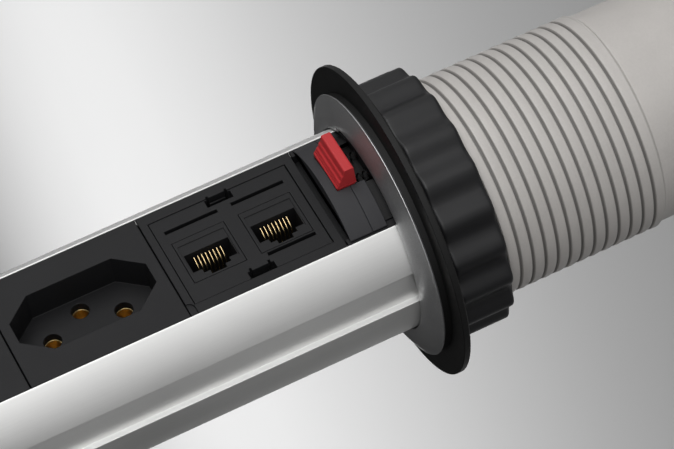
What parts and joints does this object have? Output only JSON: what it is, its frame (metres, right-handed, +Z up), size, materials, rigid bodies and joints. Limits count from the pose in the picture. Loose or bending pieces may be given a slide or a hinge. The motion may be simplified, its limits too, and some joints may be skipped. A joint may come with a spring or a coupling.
{
  "type": "pop up desk socket",
  "caption": "Pop-up desk socket: a D-shaped socket tower slides in a threaded barrel, with flange, collar, clamp nut and red release button.",
  "frame": {"origin": "on the barrel's axis at the flange's underside, where it lies on the desk", "axes": "+Z up out of the desk along the tower, -Y the side of the socket face"},
  "size_m": [0.084, 0.084, 0.3625],
  "materials": {
    "satin_aluminium": "satin anodised, fine lengthwise grain",
    "satin_silver": "fine metallic satin",
    "disc_black": "smooth matte",
    "nut_black": "satin moulded",
    "off_white": "satin moulded",
    "seal_rubber": "matte",
    "housing_grey": "fine matte texture",
    "key_plastic": "matte",
    "button_red": "satin moulded",
    "outlet_black": "fine matte texture",
    "back_grey": "matte",
    "terminal_white": "matte",
    "contact_gold": "gold plated",
    "contact_brass": "plain",
    "screw_steel": "zinc plated",
    "spring_dark": "black oxide"
  },
  "bodies": {
    "base": {"threaded_barrel": "off_white", "flange_disc": "disc_black", "flange_seal": "seal_rubber", "collar": "satin_silver", "flange_screws": "screw_steel", "guide_key_left": "key_plastic", "guide_key_right": "key_plastic", "latch_housing_lower": "housing_grey", "latch_housing_upper": "housing_grey", "housing_screws": "screw_steel", "latch_screws": "screw_steel", "barrel_end_cap": "key_plastic", "end_cap_screws": "screw_steel", "cable_gland": "nut_black", "gland_locknut": "nut_black", "release_springs": "spring_dark"},
    "tower": {"tower_profile": "satin_aluminium", "top_cap": "satin_aluminium", "cap_screws": "screw_steel", "tower_foot": "key_plastic", "foot_screws": "screw_steel", "lower_cover": "outlet_black", "terminal_block": "terminal_white", "terminal_screws": "screw_steel", "data_frame": "outlet_black", "data_plate": "outlet_black", "jack_lower": "outlet_black", "jack_upper": "outlet_black", "jack_wires_lower": "contact_gold", "jack_wires_upper": "contact_gold", "power_socket_lower": "outlet_black", "power_socket_upper": "outlet_black", "contact_sleeves_lower": "contact_brass", "contact_sleeves_upper": "contact_brass", "socket_back_lower": "back_grey", "socket_back_upper": "back_grey"},
    "release": {"release_button": "button_red"},
    "clamp_ring": {"clamp_washer": "key_plastic"},
    "clamp_nut": {"clamp_nut": "nut_black"}
  },
  "joints": [
    {"name": "tower_slide", "type": "slide", "parent": "base", "child": "tower", "axis": [0, 0, 1], "range_m": [-0.1383, 0]},
    {"name": "release_press", "type": "slide", "parent": "base", "child": "release", "axis": [0, 0, -1], "range_m": [0, 0.0024], "stiffness_N_per_m": 400, "springref_m": -0.0005, "deforming": ["release_springs"]},
    {"name": "clamp_travel", "type": "slide", "parent": "base", "child": "clamp_ring", "axis": [0, 0, 1], "range_m": [-0.0414, 0]},
    {"name": "nut_spin", "type": "hinge", "parent": "clamp_ring", "child": "clamp_nut", "pos_m": [0, 0, -0.009], "axis": [0, 0, 1], "range_deg": [-4321, 0]}
  ],
  "couplings": [
    {"joint": "nut_spin", "follows": "clamp_travel", "rad_per_m": 1821.2}
  ]
}
